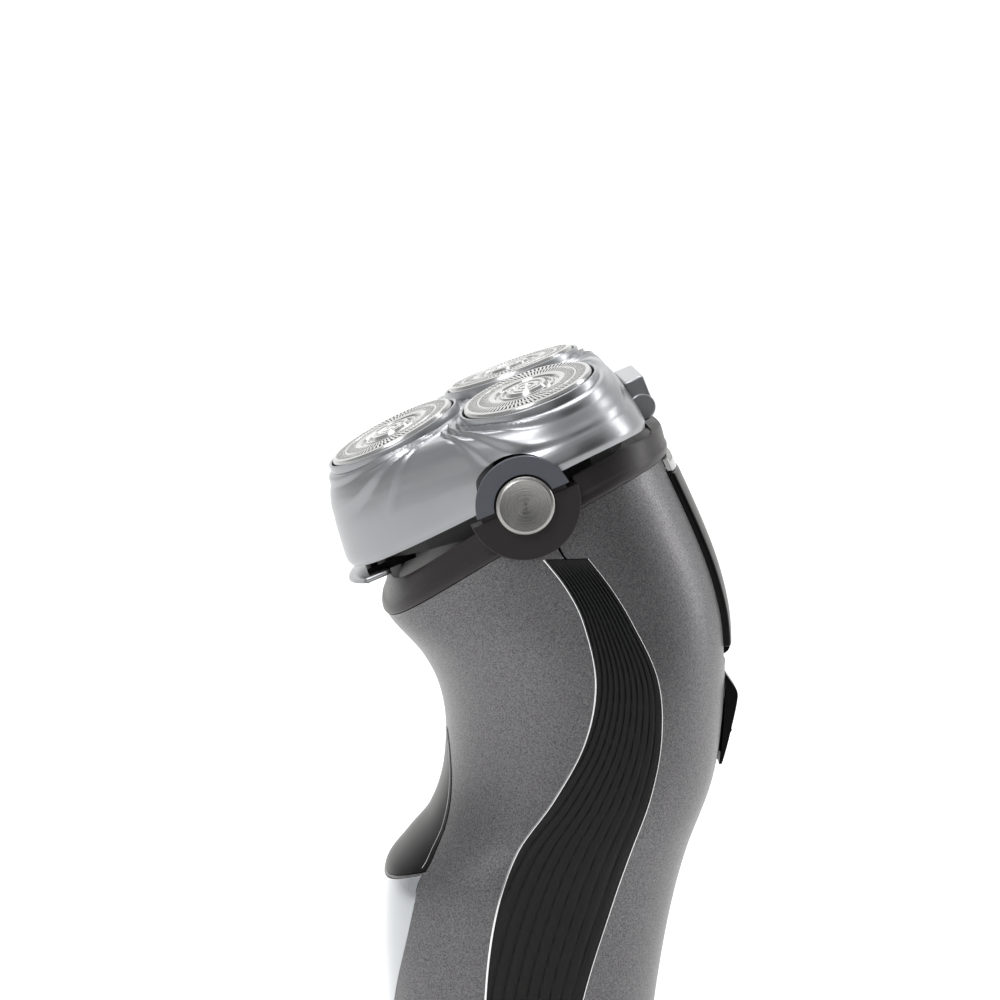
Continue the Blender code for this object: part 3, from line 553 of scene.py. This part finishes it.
ring = mesh_piece("collar_bezel", grid(160, 24, collar_point), bezel)
wall(ring, 1.9)
for flank in (-1, 1):
    carve(ring, moved_by(cylinder(9.0, (0, flank * 23.7, 0), (0, flank * 34, 0)), HEAD))
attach(ring, "handle")
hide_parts("collar")
# The neck plate is gloss black, darker than the collar's own dark brown-black moulding: painted shade
# for the dark gap between the collar and the head.
floor = bmesh.new()
bmesh.ops.create_circle(floor, cap_ends=True, segments=64, radius=1)
bmesh.ops.scale(floor, vec=Vector((25.2, 23.1, 1)), verts=floor.verts)
top = bmesh.ops.extrude_face_region(floor, geom=list(floor.faces))["geom"]
bmesh.ops.translate(floor, vec=Vector((0, 0, 1.6)),
                    verts=[item for item in top if isinstance(item, bmesh.types.BMVert)])
slope = math.atan(COLLAR_LOW[1])
moved_by(floor, Matrix.Translation((NECK_FRONT, 0, COLLAR_LOW[0] + 2.2))
         @ Matrix.Rotation(-slope, 4, "Y") @ Matrix.Translation((26.4, 0, 0)))
neck = mesh_piece("neck_plate", floor, piano)
carve(neck, moved_by(cylinder(4.4, (0.5, 0, -20), (0.5, 0, 2)), HEAD))
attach(neck, "handle")
for label, flank in (("left", -1), ("right", 1)):
    boss = mesh_piece(f"pivot_boss_{label}", moved_by(
        cylinder(9.2, (0, flank * 24.7, 0), (0, flank * 28.0, 0), 96), HEAD), bezel)
    upper = bmesh.new()
    bmesh.ops.create_cube(upper, size=1, matrix=HEAD @ Matrix.Translation((0, flank * 27, 5.7))
                          @ Matrix.Diagonal((24, 10, 12, 1)))
    carve(boss, upper, moved_by(cylinder(2.3, (0, flank * 20, 0), (0, flank * 33, 0), 32), HEAD))
    rounded(boss, 0.3)
    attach(boss, "handle")
    ear = mesh_piece(f"pivot_ear_{label}", moved_by(
        cylinder(7.4, (0, flank * 25.3, 0), (0, flank * 27.8, 0), 96), HEAD), bezel)
    carve(ear, moved_by(cylinder(2.3, (0, flank * 20, 0), (0, flank * 33, 0), 32), HEAD))
    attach(ear, "handle")

# --- The pivot discs ------------------------------------------------------------------------
# Aluminium discs faced on a lathe, so fine rings catch the light as two bright fans, with a
# polished chamfer; they cover the steel pins that the head tilts on.
# Turned aluminium: fine rings that spread the light in two fans.
turned, tree, shader = material("turned_aluminium", "a09f9d", 1.0, 0.3, Anisotropic=0.75)
where_on = add(tree, "ShaderNodeTexCoord")
centred = add(tree, "ShaderNodeMapping", {"Location": (-PIVOT.x * MM, 0, -PIVOT.z * MM)},
              Vector=where_on.outputs["Object"])
flat = add(tree, "ShaderNodeVectorMath", {"operation": "MULTIPLY"})
flat.inputs[1].default_value = (1, 0, 1)
tree.links.new(centred.outputs["Vector"], flat.inputs[0])
reach = add(tree, "ShaderNodeVectorMath", {"operation": "LENGTH"})
tree.links.new(flat.outputs["Vector"], reach.inputs[0])
along_rings = add(tree, "ShaderNodeVectorMath", {"operation": "CROSS_PRODUCT"})
along_rings.inputs[1].default_value = (0, 1, 0)
tree.links.new(flat.outputs["Vector"], along_rings.inputs[0])
tree.links.new(along_rings.outputs["Vector"], shader.inputs["Tangent"])
lathe = add(tree, "ShaderNodeTexNoise", {"Scale": 9000.0, "noise_dimensions": "1D", "Detail": 2.0},
            W=reach.outputs["Value"])
embossed(tree, shader, lathe.outputs["Fac"], 0.35, 0.00004)
roughened(tree, shader, lathe.outputs["Fac"], 0.2, 0.36)


def spun(profile, steps, matrix):
    """A turned shape: (radius, height) points from the axis to the axis, or a closed ring."""
    bm = bmesh.new()
    verts = [bm.verts.new((radius, 0, height)) for radius, height in profile]
    edges = [bm.edges.new(pair) for pair in zip(verts, verts[1:])]
    bmesh.ops.spin(bm, geom=verts + edges, cent=(0, 0, 0), axis=(0, 0, 1),
                   angle=2 * math.pi, steps=steps, use_merge=True)
    return moved_by(bm, matrix)


for label, flank in (("left", -1), ("right", 1)):
    upright = HEAD @ Matrix.Rotation(math.radians(90 * -flank), 4, "X")
    disc = mesh_piece(f"turned_disc_{label}", spun(
        ((0, 28.3), (4.75, 28.3), (4.75, 29.55), (4.6, 29.75), (4.2, 29.95), (4.05, 29.9),
         (0, 30.05)), 96, upright), turned)
    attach(disc, "handle")
    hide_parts(f"pivot_cap_{label}")

# --- The head cover -------------------------------------------------------------------------
# A thin shell of nickel-plated ABS with a satin finish. Stepped terraces run round each guard
# and meet in creases; the guards float in rimmed holes, and the rear tab holds the hinge.
# Satin plating: a bright, soft-edged metal sheen.
satin, tree, shader = material("satin_nickel_plate", "9b9c9f", 0.9, 0.32)
where_on = add(tree, "ShaderNodeTexCoord")
brushed = add(tree, "ShaderNodeTexNoise", {"Scale": 2200.0, "Detail": 3.0},
              Vector=where_on.outputs["Object"])
roughened(tree, shader, brushed.outputs["Fac"], 0.26, 0.38)
embossed(tree, shader, brushed.outputs["Fac"], 0.06, 0.00003)
GUARDS = {"front": 180, "left": -60, "right": 60}
HEAD_MIDDLE, GUARD_RING = 0.5, 15.3
COVER_SCALE = ((0, 0.985), (0.04, 0.998), (0.14, 0.992), (0.25, 0.975), (0.37, 0.95), (0.48, 0.922),
               (0.6, 0.88), (0.72, 0.8), (0.93, 0.45), (1, 0.02))
COVER_HIGH = ((0, 0), (0.04, 1), (0.14, 3.2), (0.25, 6), (0.37, 8.6), (0.48, 10.8), (0.6, 12.4),
              (0.72, 13.2), (0.93, 13.6), (1, 13.7))
COVER_FOLLOW = ((0, 1), (0.04, 1), (0.14, 0.8), (0.25, 0.3), (0.37, 0), (1, 0))
TERRACE = 1.55
guard_axis = {name: HEAD @ Matrix.Translation((
    HEAD_MIDDLE + GUARD_RING * math.cos(math.radians(angle)),
    GUARD_RING * math.sin(math.radians(angle)), 15))
    @ Matrix.Rotation(math.radians(angle), 4, "Z") @ Matrix.Rotation(math.radians(5), 4, "Y")
    for name, angle in GUARDS.items()}


def head_plan(angle, scale):
    radius = (27.3 + 3.3 * math.cos(3 * angle - 3 * math.pi)) * scale
    return HEAD_MIDDLE + radius * math.cos(angle), radius * math.sin(angle)


def terrace(u, v):
    """The height of the steps round the nearest guard, between -0.5 and 0.5."""
    reach = min(math.hypot(u - HEAD_MIDDLE - GUARD_RING * math.cos(math.radians(angle)),
                           v - GUARD_RING * math.sin(math.radians(angle)))
                for angle in GUARDS.values())
    part = (reach - 11.6) / TERRACE % 1
    rise = part / 0.78 - 0.5 if part < 0.78 else 0.5 - (part - 0.78) / 0.22
    return rise * min(1.0, max(0.0, (17.2 - reach) / 1.6))


def cover_point(s, t):
    angle = 2 * math.pi * s
    u, v = head_plan(angle, smooth(COVER_SCALE, t))
    follow = max(0.0, smooth(COVER_FOLLOW, t))
    w = smooth(COVER_HIGH, t) + (-1.4 + 0.074 * u + 3.4 * (v / 28) ** 2) * follow
    fade = min(1.0, max(0.0, (t - 0.22) / 0.1))
    lift = terrace(u, v) * fade
    lean = max(0.0, 1 - t / 0.7)
    spread = 0.992 + 0.014 * (lift - 0.5 * fade) * lean
    return HEAD @ Vector((HEAD_MIDDLE + (u - HEAD_MIDDLE) * spread, v * spread,
                          w + 0.8 * lift * (1 - 0.5 * lean)))


cover = mesh_piece("terraced_cover", grid(420, 84, cover_point), satin)
wall(cover, 1.4)
rooms = []
for name, axis in guard_axis.items():
    rooms += [moved_by(cylinder(11.4, (0, 0, -9), (0, 0, 3), 128), axis)]
for flank in (-1, 1):
    rooms.append(moved_by(cylinder(8.0, (0, flank * 23.5, 0), (0, flank * 28.4, 0), 96), HEAD))
    rooms.append(moved_by(cylinder(5.1, (0, flank * 23.5, 0), (0, flank * 32, 0), 96), HEAD))
carve(cover, *rooms)
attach(cover, "cover")
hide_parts("head_cover")


def box(low, high, matrix):
    bm = bmesh.new()
    bmesh.ops.create_cube(bm, size=1)
    size = Vector(high) - Vector(low)
    return moved_by(bm, matrix @ Matrix.Translation((Vector(low) + Vector(high)) / 2)
                    @ Matrix.Diagonal((*size, 1)))


def looped(profile, steps, matrix):
    """A turned ring from a closed (radius, height) profile."""
    return spun((*profile, profile[0]), steps, matrix)


RIM = ((11.4, -3), (11.4, -0.85), (11.5, -0.72), (11.7, -0.64), (11.85, -0.7), (11.95, -0.9),
       (11.95, -3))
for name, axis in guard_axis.items():
    rim = mesh_piece(f"guard_rim_{name}", looped(RIM, 144, axis), satin)
    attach(rim, "cover")
# The same plating, cooler and darker over the pivots.
ear_look, tree, shader = material("satin_blue_grey_plate", "6b6e76", 0.7, 0.36)
haze = add(tree, "ShaderNodeTexNoise", {"Scale": 1800.0, "Detail": 3.0})
roughened(tree, shader, haze.outputs["Fac"], 0.3, 0.42)
for label, flank in (("left", -1), ("right", 1)):
    ear = mesh_piece(f"cover_ear_{label}", moved_by(
        cylinder(8.0, (0, flank * 28.45, 0), (0, flank * 29.5, 0), 128), HEAD), ear_look)
    carve(ear, moved_by(cylinder(5.1, (0, flank * 26, 0), (0, flank * 31, 0), 96), HEAD),
          box((-9.5, flank * 29 - 4, -9.5), (9.5, flank * 29 + 4, 0.8), HEAD))
    rounded(ear, 0.25)
    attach(ear, "cover")
tab = mesh_piece("hinge_tab", moved_by(cylinder(2.3, (25, -6.9, 3.2), (25, 6.9, 3.2), 64), HEAD),
                 satin)
carve(tab, box((17.5, -3.95, -5), (31, 3.95, 5.9), HEAD))
rounded(tab, 0.3)
web = mesh_piece("hinge_tab_web", box((23.6, -6.7, 3.6), (27.1, 6.7, 8.2), HEAD), satin)
carve(web, box((17.5, -3.95, -5), (31, 3.95, 5.9), HEAD))
rounded(web, 0.4)
for piece in (tab, web):
    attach(piece, "cover")

# --- The guards and cutters -----------------------------------------------------------------
# Pressed stainless steel caps: two rows of radial slots between polished rings, over nine-
# toothed cutters that are seen as dark gaps. Each guard floats in its own hole.
# Polished steel: crisp small highlights on every bar.
steel, tree, shader = material("polished_stainless", "b2b2b2", 1.0, 0.22)
where_on = add(tree, "ShaderNodeTexCoord")
ground = add(tree, "ShaderNodeTexNoise", {"Scale": 5000.0, "Detail": 2.0},
             Vector=where_on.outputs["Object"])
roughened(tree, shader, ground.outputs["Fac"], 0.16, 0.3)
SKIRT = ((10.1, -0.05), (10.35, 0.0), (10.8, -0.15), (11.0, -0.5), (11.1, -0.9), (11.1, -3.6),
         (11.7, -3.6), (11.7, -4.4), (10.2, -4.4), (10.2, -1.0), (10.1, -0.8))
MIDDLE_RING = ((8.15, -0.1), (8.25, 0.02), (8.55, 0.02), (8.65, -0.1), (8.65, -0.6), (8.15, -0.6))
SOLE = ((0, 0.2), (0.9, 0.2), (1.0, 0.05), (1.3, 0.05), (1.4, 0.2), (2.2, 0.2), (2.3, 0.02),
        (2.6, 0.02), (2.75, 0.2), (3.3, 0.2), (3.6, -0.35), (4.1, -0.35), (4.25, -0.1), (4.6, -0.1),
        (4.8, -0.35), (5.4, -0.35), (5.6, -0.05), (6.0, -0.05), (6.15, 0.02), (6.55, 0.02),
        (6.65, -0.6), (0, -0.6))
SLOTS = 84
for name, axis in guard_axis.items():
    axis = axis @ Matrix.Translation((0, 0, -0.07))
    bm = spun(SOLE, 120, axis)
    for profile in (SKIRT, MIDDLE_RING):
        ring_mesh = bpy.data.meshes.new("ring")
        ring_bm = looped(profile, 144, axis)
        ring_bm.to_mesh(ring_mesh)
        bm.from_mesh(ring_mesh)
        ring_bm.free()
    for i in range(SLOTS):
        for low, high, lead in ((6.5, 8.2, 0), (8.6, 10.2, 0.5)):
            turned_by = Matrix.Rotation(2 * math.pi * (i + lead) / SLOTS, 4, "Z")
            width = 0.17 * (low + high) / 16.0
            bmesh.ops.create_cube(bm, size=1, matrix=axis @ turned_by @ Matrix.Translation(
                ((low + high) / 2, 0, -0.17)) @ Matrix.Rotation(math.radians(12), 4, "Z")
                @ Matrix.Diagonal((high - low, width * 2, 0.34, 1)))
    cap = mesh_piece(f"slotted_{name}_guard", bm, steel)
    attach(cap, f"guard_{name}")
    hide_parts(f"guard_{name}")

# --- The release lip ------------------------------------------------------------------------
# A curved silver lip under the front of the cover, pressed inward to let the cover swing up.
def lip_point(s, t):
    v = (2 * s - 1) * 8
    nose = 30.8 - 2.1 * (v / 8) ** 2
    depth = (0.0, 0.25, 1.0, 4.9)
    high = (-5.9, -5.35, -5.2, -5.2)
    place = t * 3
    i = min(2, int(place))
    part = place - i
    return HEAD @ Vector((-nose + depth[i] + part * (depth[i + 1] - depth[i]), v,
                          high[i] + part * (high[i + 1] - high[i])))


lip = mesh_piece("release_lip", grid(36, 13, lip_point), satin)
step = lip.modifiers.new("wall", "SOLIDIFY")
step.thickness = 0.9 * MM
step.offset = -1
applied(lip)
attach(lip, "release_button")
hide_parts("release_button")
arm = mesh_piece("release_arm", box((-27.4, -6, -5.6), (-19, 6, -4.3), HEAD), piano)
hook = mesh_piece("release_hook", box((-26.6, -5, -5.4), (-25.4, 5, -2.6), HEAD), piano)
for piece in (arm, hook):
    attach(piece, "release_button")

# --- The trimmer ----------------------------------------------------------------------------
# A gloss black arm with a steel comb and a moving blade folds out of the rear; the slide under
# it has a small ridge for the thumb.
arm = mesh_piece("trimmer_cover", rear_patch(TRIMMER_HALF, 107, 137.2, -0.3, 1.1, 2.6), piano)
rounded(arm, 0.4)
barrel = mesh_piece("trimmer_barrel", cylinder(1.6, (30.6, -6.5, 107), (30.6, 6.5, 107), 48), piano)
for piece in (arm, barrel):
    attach(piece, "trimmer")
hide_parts("trimmer_arm")
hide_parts("trimmer_arm")


comb = mesh_piece("trimmer_comb_plate", rear_patch(TRIMMER_HALF, 137.5, 139.4, -0.6, 0.9, 0.8), steel)
slots = []
for i in range(24):
    y = -10.35 + i * 0.9
    slots.append(box((18, y - 0.22, 138.9), (30, y + 0.22, 140), Matrix.Identity(4)))
carve(comb, *slots)
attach(comb, "trimmer")
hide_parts("trimmer_comb")
SLIDE_PROUD = ((0, 1.1), (0.35, 1.75), (0.74, 2.45), (0.82, 2.2), (1, 0.3))


def slide_point(s, t):
    height, y = 86.2 + 15.4 * t, (2 * s - 1) * 5.3
    return skin_x(y, height, 1) + smooth(SLIDE_PROUD, t), y, height


slide_mesh = grid(30, 40, slide_point)
under = bmesh.ops.extrude_face_region(slide_mesh, geom=list(slide_mesh.faces))["geom"]
for vert in under:
    if isinstance(vert, bmesh.types.BMVert):
        vert.co.x = skin_x(vert.co.y, vert.co.z, 1) + 0.15 + 0.4 * (101.6 - vert.co.z) / 15.4
slide = mesh_piece("trimmer_release_slide", slide_mesh, piano)
rounded(slide, 0.3)
ridge_x = skin_x(0, 91.5, 1) + 1.6
ridge = mesh_piece("slide_ridge", cylinder(0.5, (ridge_x, -2.6, 91.5), (ridge_x, 2.6, 91.5), 24),
                   piano)
foot = mesh_piece("slide_foot", box((27.5, -3, 88), (32.0, 3, 96), Matrix.Identity(4)), piano)
for piece in (slide, ridge, foot):
    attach(piece, "trimmer_slide")
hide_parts("trimmer_slide")

# --- The foot and everything inside ---------------------------------------------------------
# The foot cap, the chassis, the cells, the drive and the pins keep their CAD shapes. Each gets
# the finish of its real material: matt black ABS, turned and ground steel, acetal, brass.
FINISHES = {
    "grey_paint": ("lacquered_abs", "8d8c8d", 0.7, 0.42, 1900),
    "black_plastic": ("matt_black_abs", "161617", 0.0, 0.5, 1600),
    "collar_plastic": ("dark_moulded_pc", "2c2929", 0.0, 0.4, 1500),
    "rubber": ("plain_rubber", "161616", 0.0, 0.7, 2500),
    "steel": ("ground_steel", "b4b5b6", 1.0, 0.3, 4000),
    "blade_steel": ("hardened_steel", "c9c9ca", 1.0, 0.24, 4500),
    "turned_aluminium": ("bare_aluminium", "c4c5c6", 1.0, 0.32, 3000),
    "window_plastic": ("clear_faced_pc", "d0d3d6", 0.4, 0.18, 900),
    "brass": ("plated_brass", "c9a24c", 1.0, 0.28, 3000),
    "cell_wrap": ("pvc_sleeve", "2b5f9a", 0.0, 0.35, 700),
    "board": ("solder_mask", "14532d", 0.0, 0.42, 1200),
    "white_plastic": ("acetal", "dcdad2", 0.0, 0.44, 1400),
    "silver_lacquer": ("satin_silver_abs", "c0c1c4", 0.8, 0.34, 2000),
    "black_gloss": ("gloss_black_moulding", "0c0c0d", 0.0, 0.2, 1000)}
finishes = {}
for slot_name, (name, colour, metallic, roughness, scale) in FINISHES.items():
    made, tree, shader = material(name, colour, metallic, roughness)
    where_on = add(tree, "ShaderNodeTexCoord")
    fine = add(tree, "ShaderNodeTexNoise", {"Scale": float(scale), "Detail": 3.0},
               Vector=where_on.outputs["Object"])
    roughened(tree, shader, fine.outputs["Fac"], roughness * 0.85, roughness * 1.2)
    embossed(tree, shader, fine.outputs["Fac"], 0.08, 0.00003)
    finishes[slot_name] = made
for part in frame["record"]["subparts"]:
    node = frame["nodes"][part["node"]]
    if not node.hide_render:
        for holder in node.material_slots:
            holder.material = finishes[part["material_slot"]]
